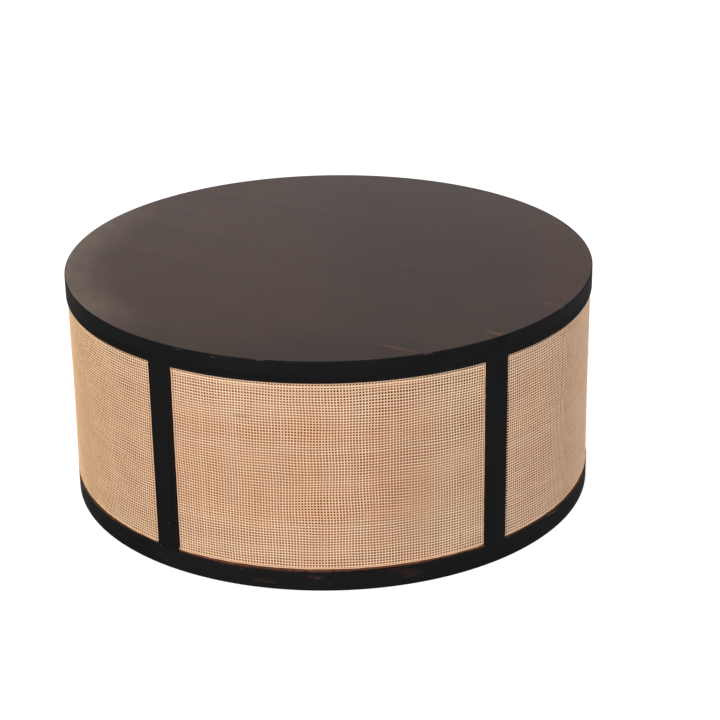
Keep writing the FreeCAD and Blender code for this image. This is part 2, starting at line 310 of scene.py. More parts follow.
def black_side(g, color, x, y, z, far, face, streaks):
    """The turned side of the top, painted blacker on the left as painted shade, with an arris that is
    rubbed pale here and there.
    """
    arc = g.turn(x, y) * FACE_R
    side = g.mix(g.fit(streaks, 0.3, 0.7), BLACK, BLACK_DEEP)
    # painted shade: the side is painted blacker towards the left
    side = g.mix(g.between(arc, -0.440, -0.200, 0.060) * 0.6, side, BLACK_PAINTED_SHADE)
    side = g.mix(g.between(arc, -0.440, -0.370, 0.040) * 0.8, side, BLACK_PAINTED_SHADE)
    color = g.mix(face, side, color)
    flecks = g.noise(x * 260.0, y * 260.0, z * 260.0, 3.0, 0.6)
    by_hand = marks(g, arc, z, ARRIS_WEAR)
    by_chance = g.fit(flecks, 0.68, 0.76) * g.between(z, TOP_Z - 2.4 * MM, TOP_Z - 0.9 * MM, 0.3 * MM)
    worn = g.most(by_hand, by_chance) * g.fit(far, FACE_R - 2.0 * MM, FACE_R - 1.2 * MM)
    return g.mix(worn * g.fit(flecks, 0.42, 0.58) * 0.45, color, srgb(0.42, 0.375, 0.345))


def board_timber():
    """The top's boards: a brown satin face, sides as black as the frame, a thin brown stain below."""
    g = Graph("stained_board")
    x, y, z = g.place()
    nz = g.facing()[2]
    far = g.length(x, y)
    along, across = along_grain(x, y)
    board = g.math("FLOOR", across / BOARD_WIDE + BOARD_COUNT / 2)
    own, own_2 = g.chance(board, 3.7), g.chance(board, 8.1)
    run = along + own * 7.0
    streaks = g.noise(run * 1.5, across * 17.0, z * 17.0, 4.0, 0.55, 0.6)
    fibre = g.noise(run * 9.0, across * 330.0, z * 330.0, 3.0, 0.6)
    pores = g.noise(run * 70.0, across * 1900.0, z * 1900.0)
    color = brown_stain(g, x, y, own, own_2)
    color = g.mix(g.fit(streaks, 0.30, 0.72) * 0.30, color, srgb(0.150, 0.105, 0.080))
    color = g.mix(g.fit(fibre, 0.35, 0.75) * 0.30, color, srgb(0.265, 0.185, 0.140))
    color = g.mix(g.fit(pores, 0.60, 0.72) * 0.35, color, srgb(0.085, 0.060, 0.048))
    color = shade_top(g, color, x, y, far, fibre)
    through = g.most(*(g.patch(along, across, (run_at, at), (long, wide)) * share
                       for run_at, at, long, wide, share in BARE_STREAKS))
    color = g.mix(through * g.fit(fibre + streaks, 0.75, 1.15) * 0.7, color, srgb(0.36, 0.215, 0.145))
    face = g.fit(nz, 0.80, 0.97)
    color = black_side(g, color, x, y, z, far, face, streaks)
    under = g.fit(nz, -0.9, -0.5, 1.0, 0.0)
    thinner = g.mix(g.fit(streaks, 0.3, 0.7), srgb(0.29, 0.225, 0.175), srgb(0.23, 0.175, 0.135))
    color = g.mix(under, color, thinner)
    rough = g.fit(streaks, 0.25, 0.75, 0.20, 0.26) + (1.0 - face) * 0.55
    height = streaks * 0.5 + fibre * 0.35 - g.fit(pores, 0.6, 0.72) * 0.25
    return g.finish(color, rough, g.bump(height, 0.00015, 0.5), Specular_IOR_Level=0.05)


def black_stain(g, x, z, arc, fibre):
    """The frame's black, painted lighter on the right and low on the rail as painted light, and darkest on
    the left as painted shade.
    """
    color = g.mix(g.fit(fibre, 0.3, 0.75), BLACK, BLACK_DEEP)
    deepest = g.between(arc, -0.460, -0.305, 0.045)
    # painted light on the right and low on the rail, less where the painted shade is and at the far right
    thin_stain_and_painted_light = g.most(g.fit(x, -0.05, 0.25), g.fit(z, 26 * MM, 33 * MM, 1.0, 0.0)) * (1.0 - deepest * 0.9)
    thin_stain_and_painted_light = thin_stain_and_painted_light * g.fit(arc, 0.390, 0.450, 1.0, 0.1)
    color = g.mix(thin_stain_and_painted_light * 0.4, color, BLACK_PAINTED_LIGHT)
    # painted shade: the left is painted darkest
    return g.mix(deepest * 0.4, color, BLACK_PAINTED_SHADE)


def clear_of_stile(g, beside):
    """1 in the bays, and falling to 0 where a stile begins."""
    return g.fit(beside, STILE_HALF - 0.5 * MM, STILE_HALF + 1.5 * MM)


def rubbed_lip(g, z, arc, beside, own, patch, fine):
    """Where the rail's lip under the cane is rubbed: how much, and the depth below the lip as a share."""
    # it is narrower and more broken under the bays beside the front one, but not at the far left
    side_bay = g.fit(g.math("ABSOLUTE", arc), 0.250, 0.260) * (1.0 - g.between(arc, -0.500, -0.385, 0.025))
    broader = g.between(arc, -0.150, -0.010, 0.060) * 0.45 + 0.65 - side_bay * 0.15
    ragged = g.noise(arc * 70.0, 4.0, own, 3.0, 0.6)
    reach = g.fit(ragged * 0.6 + fine * 0.4, 0.32, 0.68, 2.4 * MM, 5.6 * MM) * broader
    down = (RAIL_HIGH - z) / reach
    lip = g.fit(down, 0.1, 1.25, 1.0, 0.0) * g.fit(z, RAIL_HIGH + 0.5 * MM, RAIL_HIGH + 1.0 * MM, 1.0, 0.0)
    lip = lip * clear_of_stile(g, beside)
    lip = lip * g.fit(patch * 0.5 + fine * 0.5, 0.36, 0.54, 0.5 - side_bay * 0.5, 1.0)
    return lip * (1.0 - side_bay * 0.35), down


def knock_about(g, color, x, y, z, arc, level, patch):
    """Smears where the black is thin, small pale knocks, and a scatter of dust."""
    drawn = g.noise(arc * 45.0, z * 330.0, 3.0, 3.0, 0.6)
    smear = marks(g, arc, z, RAIL_SMEARS) * g.fit(drawn, 0.36, 0.60)
    color = g.mix(smear * 0.45, color, srgb(0.27, 0.190, 0.160))
    thin_stain_and_painted_light = g.between(z, 8 * MM, 28 * MM, 8 * MM) * g.fit(patch, 0.60, 0.74) * g.fit(level, 0.45, 0.6)
    color = g.mix(thin_stain_and_painted_light * 0.25, color, srgb(0.27, 0.145, 0.105))
    color = g.mix(marks(g, arc, z, PALE_DASHES) * 0.65, color, srgb(0.40, 0.33, 0.30))
    specks = g.cells(x * 38.0, y * 38.0, z * 38.0)
    return g.mix(g.fit(specks, 0.028, 0.055, 1.0, 0.0) * 0.35, color, srgb(0.28, 0.25, 0.24))


def frame_timber():
    """Rings and stiles: near-black, rubbed to red-brown along the edges beside the cane."""
    g = Graph("black_stain")
    x, y, z = g.place()
    nx, ny, nz = g.facing()
    turn = g.turn(x, y)
    arc = turn * FACE_R
    # a ring's segment runs from the middle of one bay to the next, with a stile at its own middle
    number = g.math("WRAP", g.math("FLOOR", turn / BAY_TURN), BAYS, 0.0)
    own = g.chance(number, 2.3)
    from_stile = (g.math("WRAP", turn, BAY_TURN, 0.0) - BAY_TURN / 2) * FACE_R
    beside = g.math("ABSOLUTE", from_stile)
    along = from_stile + own * 9.0
    level = g.noise(along * 4.0, z * 160.0, own, 4.0, 0.6, 0.4)
    upright = g.noise(along * 160.0, z * 4.0, own, 4.0, 0.6, 0.4)
    in_bay = g.between(z, RAIL_HIGH, BAND_LOW, 0.2 * MM)
    on_stile = g.fit(beside, STILE_HALF, STILE_HALF + 0.4 * MM, 1.0, 0.0) * in_bay
    fibre = level * (1.0 - on_stile) + upright * on_stile
    color = black_stain(g, x, z, arc, fibre)

    # the edges beside the cane are rubbed: most along the rail's lip, a little up the stiles
    patch = g.noise(arc * 16.0, z * 45.0, 7.0, 3.0, 0.6)
    fine = g.noise(arc * 230.0, z * 330.0, 1.0, 3.0, 0.6)
    lip, down = rubbed_lip(g, z, arc, beside, own, patch, fine)
    color = g.mix(lip * 0.9, color, g.mix(g.fit(down, 0.0, 1.0), RUBBED, RUBBED_DEEP))
    sides = g.fit(beside, STILE_HALF - 1.5 * MM, STILE_HALF - 0.4 * MM) * on_stile
    sides = sides * g.fit(patch * 0.6 + fine * 0.4, 0.38, 0.54, 0.25, 1.0)
    color = g.mix(sides * 0.15, color, RUBBED_DEEP)
    hem = g.between(z, BAND_LOW, BAND_LOW + 0.8 * MM, 1.2 * MM) * clear_of_stile(g, beside)
    color = g.mix(hem * g.fit(patch, 0.45, 0.60) * 0.35, color, srgb(0.26, 0.13, 0.10))
    color = knock_about(g, color, x, y, z, arc, level, patch)

    # the faces that look inwards and down have a thinner, browner stain
    inward = g.fit((nx * x + ny * y) / g.length(x, y), -0.9, -0.6, 1.0, 0.0)
    foot = g.fit(nz, -0.9, -0.6, 1.0, 0.0) * g.fit(z, 0.5 * MM, 1.5 * MM, 1.0, 0.0)
    thinner = g.mix(g.fit(level, 0.3, 0.7), srgb(0.165, 0.135, 0.115), srgb(0.125, 0.105, 0.092))
    color = g.mix(g.most(inward, foot), color, thinner)
    rough = g.fit(fibre, 0.25, 0.75, 0.62, 0.74) + lip * 0.1
    return g.finish(color, rough, g.bump(fibre + fine * 0.3, 0.0002, 0.5), Specular_IOR_Level=0.015)


def inside_timber():
    """Battens and splines, in a matt brown stain."""
    g = Graph("brown_stain")
    x, y, z = g.place()
    across, along = along_grain(x, y)  # they run square to the boards
    streaks = g.noise(across * 55.0, along * 3.0, z * 55.0, 4.0, 0.6, 0.5)
    pores = g.noise(across * 1200.0, along * 60.0, z * 1200.0)
    color = g.mix(g.fit(streaks, 0.3, 0.72), srgb(0.235, 0.175, 0.13), srgb(0.17, 0.125, 0.09))
    color = g.mix(g.fit(pores, 0.6, 0.72) * 0.5, color, srgb(0.10, 0.07, 0.05))
    rough = g.fit(streaks, 0.25, 0.75, 0.55, 0.72)
    return g.finish(color, rough, g.bump(streaks + pores * 0.3, 0.0003, 0.6), Specular_IOR_Level=0.25)


def backing_board():
    """The bent ply behind the cane: matt red-brown, painted darker towards the right and near-black beside
    the stiles as painted shade, with a duller brown on the side that faces inwards.
    """
    g = Graph("brown_backing")
    x, y, z = g.place()
    nx, ny, _ = g.facing()
    arc = g.turn(x, y) * FACE_R
    grain = g.noise(arc * 120.0, z * 5.0, 2.0, 4.0, 0.6, 0.4)
    blotch = g.noise(arc * 12.0, z * 12.0, 5.0)
    color = g.mix(g.fit(grain, 0.3, 0.7), srgb(0.39, 0.170, 0.05), srgb(0.31, 0.125, 0.035))
    color = g.mix(g.fit(blotch, 0.4, 0.7) * 0.4, color, srgb(0.44, 0.205, 0.07))
    # painted shade: the sheet is painted darker from the front towards the right, where its holes fall in
    # shade
    color = g.mix(g.fit(arc, -0.02, 0.16) * 0.5, color, srgb(0.19, 0.070, 0.020))
    # painted shade: its edges beside the stiles are painted near-black, where they lie in the stiles' shade
    turn = g.math("WRAP", arc / FACE_R, BAY_TURN, 0.0) - BAY_TURN / 2
    beside = g.math("ABSOLUTE", turn) * FACE_R
    ragged = g.noise(4.0, z * 90.0, arc * 8.0)
    painted_stile_shade = g.fit(beside, STILE_HALF + 3.0 * MM, STILE_HALF + 4.6 * MM, 1.0, 0.0)
    color = g.mix(painted_stile_shade * g.fit(ragged, 0.25, 0.5, 0.6, 1.0), color, srgb(0.105, 0.085, 0.078))
    inward = g.fit(nx * x + ny * y, -0.3, -0.1, 1.0, 0.0)
    dull = g.mix(g.fit(grain, 0.3, 0.7), srgb(0.38, 0.25, 0.165), srgb(0.30, 0.19, 0.12))
    color = g.mix(inward, color, dull)
    rough = g.fit(grain, 0.3, 0.7, 0.72, 0.85)
    return g.finish(color, rough, g.bump(grain, 0.0002, 0.4), Specular_IOR_Level=0.08)


BEHIND = math.pi * FACE_R  # arc from the front to the back
# How the cane's tone changes round the drum: from and to as arcs, how soft the ends are, share and colour.
# The sheet in the bay on the left is a little more orange, and the one on the right a little paler.
CANE_TINTS = ((0.180, 0.235, 0.090, 0.30, srgb(1.000, 0.890, 0.760)),
              (-BEHIND, -0.275, 0.045, 0.40, srgb(0.910, 0.750, 0.590)),
              (0.275, BEHIND, 0.045, 0.30, srgb(0.950, 0.820, 0.720)),
              (-BEHIND, -0.420, 0.090, 0.40, srgb(1.000, 0.790, 0.565)),
              (0.420, BEHIND, 0.090, 0.50, srgb(0.945, 0.765, 0.620)))


def cane_skin(name, seed, share=0.0, tint=(1.0, 1.0, 1.0)):
    """Split cane: peach and straw strands, each with its own tone, with fibres along it."""
    g = Graph(name)
    x, y, z = g.place()
    arc = g.turn(x, y) * FACE_R
    own, tone, run, edge_and_shade = (g.attribute(n) for n in ("cane_own", "cane_tone", "cane_run", "cane_edge_and_shade"))
    fibre = g.noise(run * 25.0, own * 91.0, tone * 57.0, 3.0, 0.6)
    fine = g.noise(x * 2100.0, y * 2100.0, z * 330.0)
    field = g.noise(x * 17.0, y * 17.0, z * 17.0 + seed, 3.0)
    spots = g.noise(x * 45.0 + 3.0, y * 45.0, z * 45.0 + seed, 3.0, 0.6)
    color = g.mix(own, srgb(0.985, 0.797, 0.653), srgb(1.000, 0.884, 0.756))
    color = g.mix(g.fit(tone, 0.62, 1.0) * 0.35, color, srgb(0.962, 0.752, 0.615))
    color = g.mix(g.fit(tone, 0.0, 0.3, 1.0, 0.0) * 0.35, color, srgb(0.950, 0.802, 0.605))
    color = g.mix(g.fit(field, 0.46, 0.70) * 0.28, color, srgb(0.935, 0.714, 0.575))
    color = g.mix(g.fit(spots, 0.50, 0.72) * 0.32, color, srgb(0.920, 0.778, 0.588))
    color = g.mix(g.fit(fibre, 0.60, 0.80) * 0.50, color, srgb(0.810, 0.610, 0.440))
    color = g.mix(g.fit(fine, 0.55, 0.75) * 0.15, color, srgb(0.720, 0.540, 0.400))
    # painted light: it is painted palest towards its head and foot, and it is deeper along the cut edges of
    # a strand, partly as painted shade
    from_middle = g.math("ABSOLUTE", z - (CANE_LOW + CANE_HIGH) / 2)
    color = g.mix(g.fit(from_middle, 75 * MM, 140 * MM) * 0.42, color, srgb(1.000, 0.885, 0.750))
    # painted light: the cut edges' colour is eased on the far sides of the drum, which paints them lighter
    # there; the rest of it is partly painted shade for the holes
    edge_and_shade = edge_and_shade * g.fit(g.math("ABSOLUTE", arc), 0.300, 0.400, 0.8, 0.15)
    color = g.mix(edge_and_shade, color, srgb(0.930, 0.500, 0.140))
    smudge = g.patch(arc, z, (-122 * MM, 265 * MM), (17 * MM, 2.2 * MM)) * g.fit(fine, 0.35, 0.6)
    color = g.mix(smudge * 0.6, color, srgb(0.560, 0.450, 0.345))
    for start, end, soft, amount, there in CANE_TINTS:
        color = g.mix(g.between(arc, start, end, soft) * amount, color, there)
    color = g.mix(share, color, tint)
    rough = g.fit(fibre, 0.3, 0.8, 0.50, 0.66)
    return g.finish(color, rough, g.bump(fine + fibre * 0.5, 0.00008, 0.5), Specular_IOR_Level=0.08)


def screw_steel():
    g = Graph("zinc_screw")
    x, y, z = g.place()
    scratch = g.noise(x * 900.0, y * 900.0, z * 900.0, 3.0, 0.6)
    color = g.mix(scratch, srgb(0.70, 0.68, 0.63), srgb(0.52, 0.49, 0.44))
    rough = g.fit(scratch, 0.3, 0.7, 0.30, 0.48)
    return g.finish(color, rough, g.bump(scratch, 0.00005, 0.4), Metallic=1.0)


TIMBER = frame_timber()
BOARD = board_timber()
INSIDE = inside_timber()
BACKING = backing_board()
WARP_SKIN = cane_skin("cane_upright", 0.0)
WEFT_SKIN = cane_skin("cane_level", 4.0)
PALE_SKIN = cane_skin("cane_pale", 9.0, 0.5, srgb(0.985, 0.860, 0.730))
REED_SKIN = cane_skin("cane_reed", 6.0, 0.45, srgb(0.900, 0.690, 0.545))
DULL_REED_SKIN = cane_skin("cane_reed_dull", 6.0, 0.60, srgb(0.850, 0.680, 0.525))
STEEL = screw_steel()

DRESS = {"top_board": BOARD, "batten": INSIDE, "back_panel": BACKING, "cane_panel": WARP_SKIN,
         "upper_ring_splines": INSIDE, "lower_ring_splines": INSIDE}


def dress(node, material):
    """Gives a CAD node one material all over."""
    mesh = nodes[node].data
    if not mesh.materials:
        mesh.materials.append(material)
    for number in range(len(mesh.materials)):
        mesh.materials[number] = material
    for place in nodes[node].material_slots:
        place.material = material


for name in nodes:
    kind = next((start for start in DRESS if name.startswith(start)), None)
    dress(name, DRESS.get(kind, TIMBER))


# Meshes

def rows_for(k, table):
    """The rows of a table whose first value is k, without that value."""
    return [row[1:] for row in table if row[0] == k]


# In the tables below, an arc is counted from the middle of its bay.
# Places where the sheet stands a little proud: bay, arc, height, reach both ways and rise. In mm.
SWELLS = ((4, -55, 55, 75, 75, 1.5), (1, 60, 55, 70, 60, 0.9))


def swell(k, arc, high):
    """How far the sheet of bay k stands out of its circle."""
    return sum(rise * MM * np.exp(-((arc / MM - at) / wide) ** 2 - ((high / MM - up) / tall) ** 2)
               for at, up, wide, tall, rise in rows_for(k, SWELLS))


def wrap(k, arc, high, out):
    """Points on bay k from their arc, their height and how far they stand out of the sheet's middle."""
    angle = k * BAY_TURN + arc / CANE_R
    radius = CANE_R + out + swell(k, arc, high)
    return np.stack([radius * np.sin(angle), -radius * np.cos(angle), high * np.ones_like(angle)], -1)


def place_new(name, data):
    """A new object in the scene."""
    made = bpy.data.objects.new(name, data)
    bpy.context.scene.collection.objects.link(made)
    return made


def mesh_piece(name, points, faces, material, uv=None, values=None):
    """A piece of the table from arrays. faces are groups with as many corners each."""
    mesh = bpy.data.meshes.new(name)
    mesh.vertices.add(len(points))
    mesh.vertices.foreach_set("co", np.asarray(points, np.float32).ravel())
    loops = np.concatenate([np.asarray(group, np.int32).ravel() for group in faces])
    sizes = np.concatenate([np.full(len(group), len(group[0]), np.int32) for group in faces])
    mesh.loops.add(len(loops))
    mesh.loops.foreach_set("vertex_index", loops)
    mesh.polygons.add(len(sizes))
    starts = np.concatenate([[0], np.cumsum(sizes)[:-1]]).astype(np.int32)
    mesh.polygons.foreach_set("loop_start", starts)
    mesh.polygons.foreach_set("use_smooth", np.ones(len(sizes), bool))
    mesh.update(calc_edges=True)
    mesh.validate()
    if uv is not None:
        layer = mesh.uv_layers.new(name="OFBake")
        layer.data.foreach_set("uv", np.asarray(uv, np.float32)[loops].ravel())
    for key, given in (values or {}).items():
        mesh.attributes.new(key, "FLOAT", "POINT").data.foreach_set("value", np.asarray(given, np.float32))
    mesh.materials.append(material)
    piece = place_new(name, mesh)
    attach(piece, "root")
    return piece


# Sections across a strand: share of its width, share of its thickness, place in its strip of the map, and
# how much of the cut edge's deeper colour, partly painted shade, shows.
FLAT = ((-0.5, 0.0, 0.1, 1), (-0.27, 0.46, 0.3, 0), (0.27, 0.46, 0.7, 0), (0.5, 0.0, 0.9, 1),
        (0.0, -0.5, 0.5, 1))
ROUND = ((-0.5, 0.0, 0.1, 1), (-0.40, 0.52, 0.22, 0), (-0.16, 0.94, 0.4, 0), (0.16, 0.94, 0.6, 0),
         (0.40, 0.52, 0.78, 0), (0.5, 0.0, 0.9, 1), (0.0, -0.3, 0.5, 1))
RUN_UNIT = 0.1  # length of strand over which the value cane_run grows by 1


def wander(rng, count, samples, step, size):
    """Slow random changes along each of several strands."""
    knots = np.arange(0, samples + step, step)
    return np.stack([np.interp(np.arange(samples), knots, rng.normal(0, size, len(knots)))
                     for _ in range(count)])


def tube_faces(count, samples, corners):
    """The faces of closed tubes whose points run strand by strand, sample by sample, round the section."""
    first = (np.arange(count)[:, None] * samples + np.arange(samples - 1)[None]).ravel() * corners
    quads = []
    for corner in range(corners):
        after = (corner + 1) % corners
        quads.append(np.stack([first + corner, first + after, first + corners + after,
                               first + corners + corner], -1))
    start = np.arange(count) * samples * corners
    end = start + (samples - 1) * corners
    caps = [np.stack([start + corner for corner in reversed(range(corners))], -1),
            np.stack([end + corner for corner in range(corners)], -1)]
    return [np.concatenate(quads), np.concatenate(caps)]


def strands(name, k, line, width, thick, rng, material, section=FLAT, uneven=1.0):
    """Closed strands along lines. line is (strand, sample, 3): arc, height and stand-off of each middle."""
    count, samples = line.shape[:2]
    corners = len(section)
    # strands that lie side by side come from one cane, and are alike in colour
    own = np.clip(0.5 + (wander(rng, 1, count, 4, 0.35)[0] + rng.normal(0, 0.2, count)) * uneven, 0, 1)
    tone = rng.random(count)
    ahead = np.gradient(line[..., :2], axis=1)
    lengths = np.linalg.norm(ahead, axis=2, keepdims=True)
    side = np.stack([ahead[..., 1], -ahead[..., 0]], -1) / lengths
    rings = []
    for across, rise, _, _ in section:
        flat = line[..., :2] + side * (across * width)[..., None]
        rings.append(wrap(k, flat[..., 0], flat[..., 1], line[..., 2] + rise * thick))
    points = np.stack(rings, 2).reshape(-1, 3)

    def each_point(given):
        return np.broadcast_to(given, (count, samples, corners)).ravel()

    strip = each_point((np.arange(count)[:, None, None] + np.array([part[2] for part in section])) / count)
    along = each_point(np.linspace(0, 1, samples)[None, :, None])
    values = {"cane_own": each_point(own[:, None, None]), "cane_tone": each_point(tone[:, None, None]),
              "cane_run": each_point(np.cumsum(lengths, 1) / RUN_UNIT),
              "cane_edge_and_shade": each_point(np.array([part[3] for part in section]))}
    uv = np.stack([strip, along], -1)
    return mesh_piece(name, points, tube_faces(count, samples, corners), material, uv, values)


def drift(seed, waves, reach, low, high):
    """A smooth seeded wander over the sheet, as a function of arc and height."""
    rng = np.random.default_rng(seed)
    turn = rng.uniform(0, np.pi, waves)
    length = np.exp(rng.uniform(np.log(low), np.log(high), waves))
    phase = rng.uniform(0, 2 * np.pi, waves)
    size = reach * rng.uniform(0.5, 1.0, waves) / np.sqrt(waves)

    def at(arc, up):
        return sum(amount * np.sin(2 * np.pi * (np.cos(a) * arc + np.sin(a) * up) / wave + start)
                   for a, wave, start, amount in zip(turn, length, phase, size))

    return at


# The woven cane

# Seeds of the random draws, to which the bay's number is added
WEAVE_SEED, SWAY_SEED, WAVE_SEED, REED_SEED, TUFT_SEED = 100, 200, 300, 500, 700
PITCH_ARC, PITCH_HIGH = 4.32 * MM, 4.215 * MM  # from upright to upright, and from level to level
WARP_WIDE, WEFT_WIDE, STRAND_THICK = 1.92 * MM, 2.13 * MM, 0.30 * MM
LIFT = 0.15 * MM  # how far a strand stands out of the sheet's middle where it lies over another
SETTLED = 14 * MM  # strands sway less within this of the sheet's border
FLOAT_WIDE, FLOAT_LIFT = 1.6 * MM, 0.60 * MM  # loose strands over the weave
EDGE_LIFT, EDGE_STEP = 0.45 * MM, 4 * MM  # strands along a sheet's left edge
FIRST_ROW = 3.2 * MM  # from the sheet's foot to the middle of its lowest level strand
LAST_ROW = 1.2 * MM  # from the middle of the highest one to the sheet's head
LAST_SPACES = (4.3 * MM, 3.8 * MM)  # between the highest level strands
TOP_STRAND, SECOND_STRAND = 2.2 * MM, 2.9 * MM  # widths of the two strands under the band

# How each bay ends, in mm: the first strand's middle from the left edge, the space to the second, the
# space before the last, its middle from the right edge, how ragged the ends are on the left and right, and
# the reed's width at the left, foot and right, with none where it is 0.
Border = namedtuple("Border", ("first", "second", "before", "last", "ragged_left", "ragged_right",
                               "reed_left", "reed_foot", "reed_right"))
BORDERS = (Border(5.2, 4.3, 4.3, 3.4, 0.4, 1.0, 0, 1.5, 1.0),
           Border(6.7, 4.2, 4.3, 2.2, 1.5, 0.4, 0, 1.7, 0),
           Border(2.4, 3.3, 4.3, 3.0, 0.3, 0.4, 1.4, 2.8, 2.4),
           Border(2.6, 4.0, 4.3, 2.6, 0.3, 0.4, 1.6, 3.0, 2.2),
           Border(1.6, 3.4, 4.9, 3.1, 0.3, 0.8, 0, 1.9, 0))
# The worn upper right corner of bay 4: how much shorter its last strands are. In mm.
WORN_CORNER_BAY = 4
WORN_UPRIGHTS, WORN_LEVELS = (0.8, 2.6), (0.6, 1.8, 4.5)
# Places where two upright strands part: bay, arc, from height, to height and by how much. In mm.
PARTINGS = ((0, 191, 54, 60, 1.1), (1, -95, 188, 306, 1.6), (4, 45, 204, 322, 1.3), (2, 60, 120, 190, 0.8))
# Level strands that are wide there: bay, height, from arc, to arc and by how much. In mm.
BROAD_ROWS = ((0, 97, -240, 20, 0.4), (1, 150, -60, 240, 0.5), (4, 240, -240, 60, 0.5),
              (3, 70, -100, 90, 0.7))
# Loose fine strands that lie over a row: bay, height, from arc and to arc. In mm.
FLOATS = ((0, 97, -232, 20), (1, 214, -40, 90), (2, 120, -150, 10), (3, 230, 20, 160), (4, 160, 60, 190))
# Single strands that lie along a sheet's left edge: bay, inset, from height, to height and width. In mm.
EDGE_STRANDS = ((0, 1.5, 35, 320, 2.4), (1, 2.9, 35, 80, 1.5), (1, 2.9, 265, 320, 1.4))
HIGH_EDGE = 100  # an edge strand that starts above this height has a name of its own
# Where the weave closes up or opens: bay, from arc, to arc, how soft the ends are, and how much wider the
# upright and the level strands get. In mm.
BEYOND = 400
CLOSINGS = ((0, 90, 250, 90, -0.15, -0.15), (1, 0, BEYOND, 75, 0.4, 0.8), (4, -BEYOND, -30, 75, 0.4, 0.8))


def spread(low, high, pitch, first, last, rng, jitter):
    """Middles of the strands from low to high. first and last are the odd spaces at the ends, if any."""
    inner_low, inner_high = low + sum(first), high - sum(last)
    inner = np.linspace(inner_low, inner_high, int(round((inner_high - inner_low) / pitch)) + 1)
    inner[1:-1] += rng.normal(0, jitter, len(inner) - 2)
    head = low + np.cumsum([0, *first[:-1]]) if first else []
    tail = high - np.cumsum([0, *last[:-1]])[::-1] if last else []
    return np.concatenate([head, inner, tail])


def window(values, low, high, soft):
    """1 between low and high, falling to 0 within soft outside them."""
    return np.clip((values - low) / soft + 1, 0, 1) * np.clip((high - values) / soft + 1, 0, 1)


def woven_line(points, sign, start, end, axis):
    """The crossings of each strand with a point between each two and one past each end."""
    count, meetings = points.shape[:2]
    line = np.zeros((count, 2 * meetings + 1, 3))
    line[:, 1::2, :2] = points
    line[:, 1::2, 2] = sign * LIFT
    line[:, 2:-1:2, :2] = (points[:, 1:] + points[:, :-1]) / 2
    line[:, 0, :2], line[:, -1, :2] = points[:, 0], points[:, -1]
    line[:, 0, axis], line[:, -1, axis] = start, end
    return line


def crossings(k, arcs, highs):
    """Where the strands of bay k cross: arc and height, after they have swayed and parted."""
    sway = drift(SWAY_SEED + k, 7, 0.8 * MM, 70 * MM, 300 * MM)
    wave = drift(WAVE_SEED + k, 9, 1.1 * MM, 45 * MM, 220 * MM)
    across, up = np.meshgrid(arcs, highs, indexing="ij")
    near_side = window(across, -CANE_HALF + SETTLED, CANE_HALF - SETTLED, SETTLED) * 0.85 + 0.15
    near_end = window(up, CANE_LOW + SETTLED, CANE_HIGH - SETTLED, 12 * MM)
    cross = np.stack([across + sway(across, up) * near_side, up + wave(across, up) * near_end], -1)
    for at, low, high, extra in rows_for(k, PARTINGS):
        column = np.searchsorted(arcs, at * MM)
        part = window(highs, low * MM, high * MM, 9 * MM) * extra * MM / 2
        cross[column - 1, :, 0] -= part
        cross[column, :, 0] += part
    return cross


def strand_ends(k, uprights, levels, rng):
    """Where the strands end: foot and head of the upright ones, left and right of the level ones."""
    border = BORDERS[k]
    low = CANE_LOW + rng.uniform(0.5, 1.2, uprights) * MM
    high = CANE_HIGH - rng.uniform(0.0, 0.15, uprights) * MM
    left = -CANE_HALF + rng.uniform(0.0, 1.0, levels) * border.ragged_left * MM
    right = CANE_HALF - rng.uniform(0.0, 1.0, levels) * border.ragged_right * MM
    if k == WORN_CORNER_BAY:
        high[-len(WORN_UPRIGHTS):] -= np.array(WORN_UPRIGHTS) * MM
        right[-len(WORN_LEVELS):] -= np.array(WORN_LEVELS) * MM
    return low, high, left, right


def strand_widths(usual, line, rng):
    """The width of each strand at each sample: its own, and a slow change along it."""
    count, samples = line.shape[:2]
    own = rng.normal(0, 0.07 * MM, (count, 1))
    return usual + np.clip(own + wander(rng, count, samples, 14, 0.08 * MM), -0.25 * MM, 0.25 * MM)


def loose_strands(k, weft, highs):
    """The lines of the loose strands that lie over rows of bay k, with their ends tucked in."""
    loose = []
    for at, low, high in rows_for(k, FLOATS):
        row = weft[np.argmin(abs(highs - at * MM)), 1::2]
        part = row[(row[:, 0] > low * MM) & (row[:, 0] < high * MM)].copy()
        part[:, 2] = FLOAT_LIFT
        part[[0, -1], 2] = 0.0
        loose.append(part)
    return np.array(loose)


def edge_strands(k, rng):
    """The name, line and width of each strand along the left edge of bay k."""
    for inset, low, top, wide in rows_for(k, EDGE_STRANDS):
        high = np.arange(low * MM, top * MM, EDGE_STEP)
        at = -CANE_HALF + inset * MM + wander(rng, 1, len(high), 3, 0.15 * MM)[0]
        line = np.stack([at, high, np.full_like(high, EDGE_LIFT)], -1)[None]
        name = "cane_edge" if low < HIGH_EDGE else "cane_edge_high"
        yield name, line, np.full((1, len(high)), wide * MM)


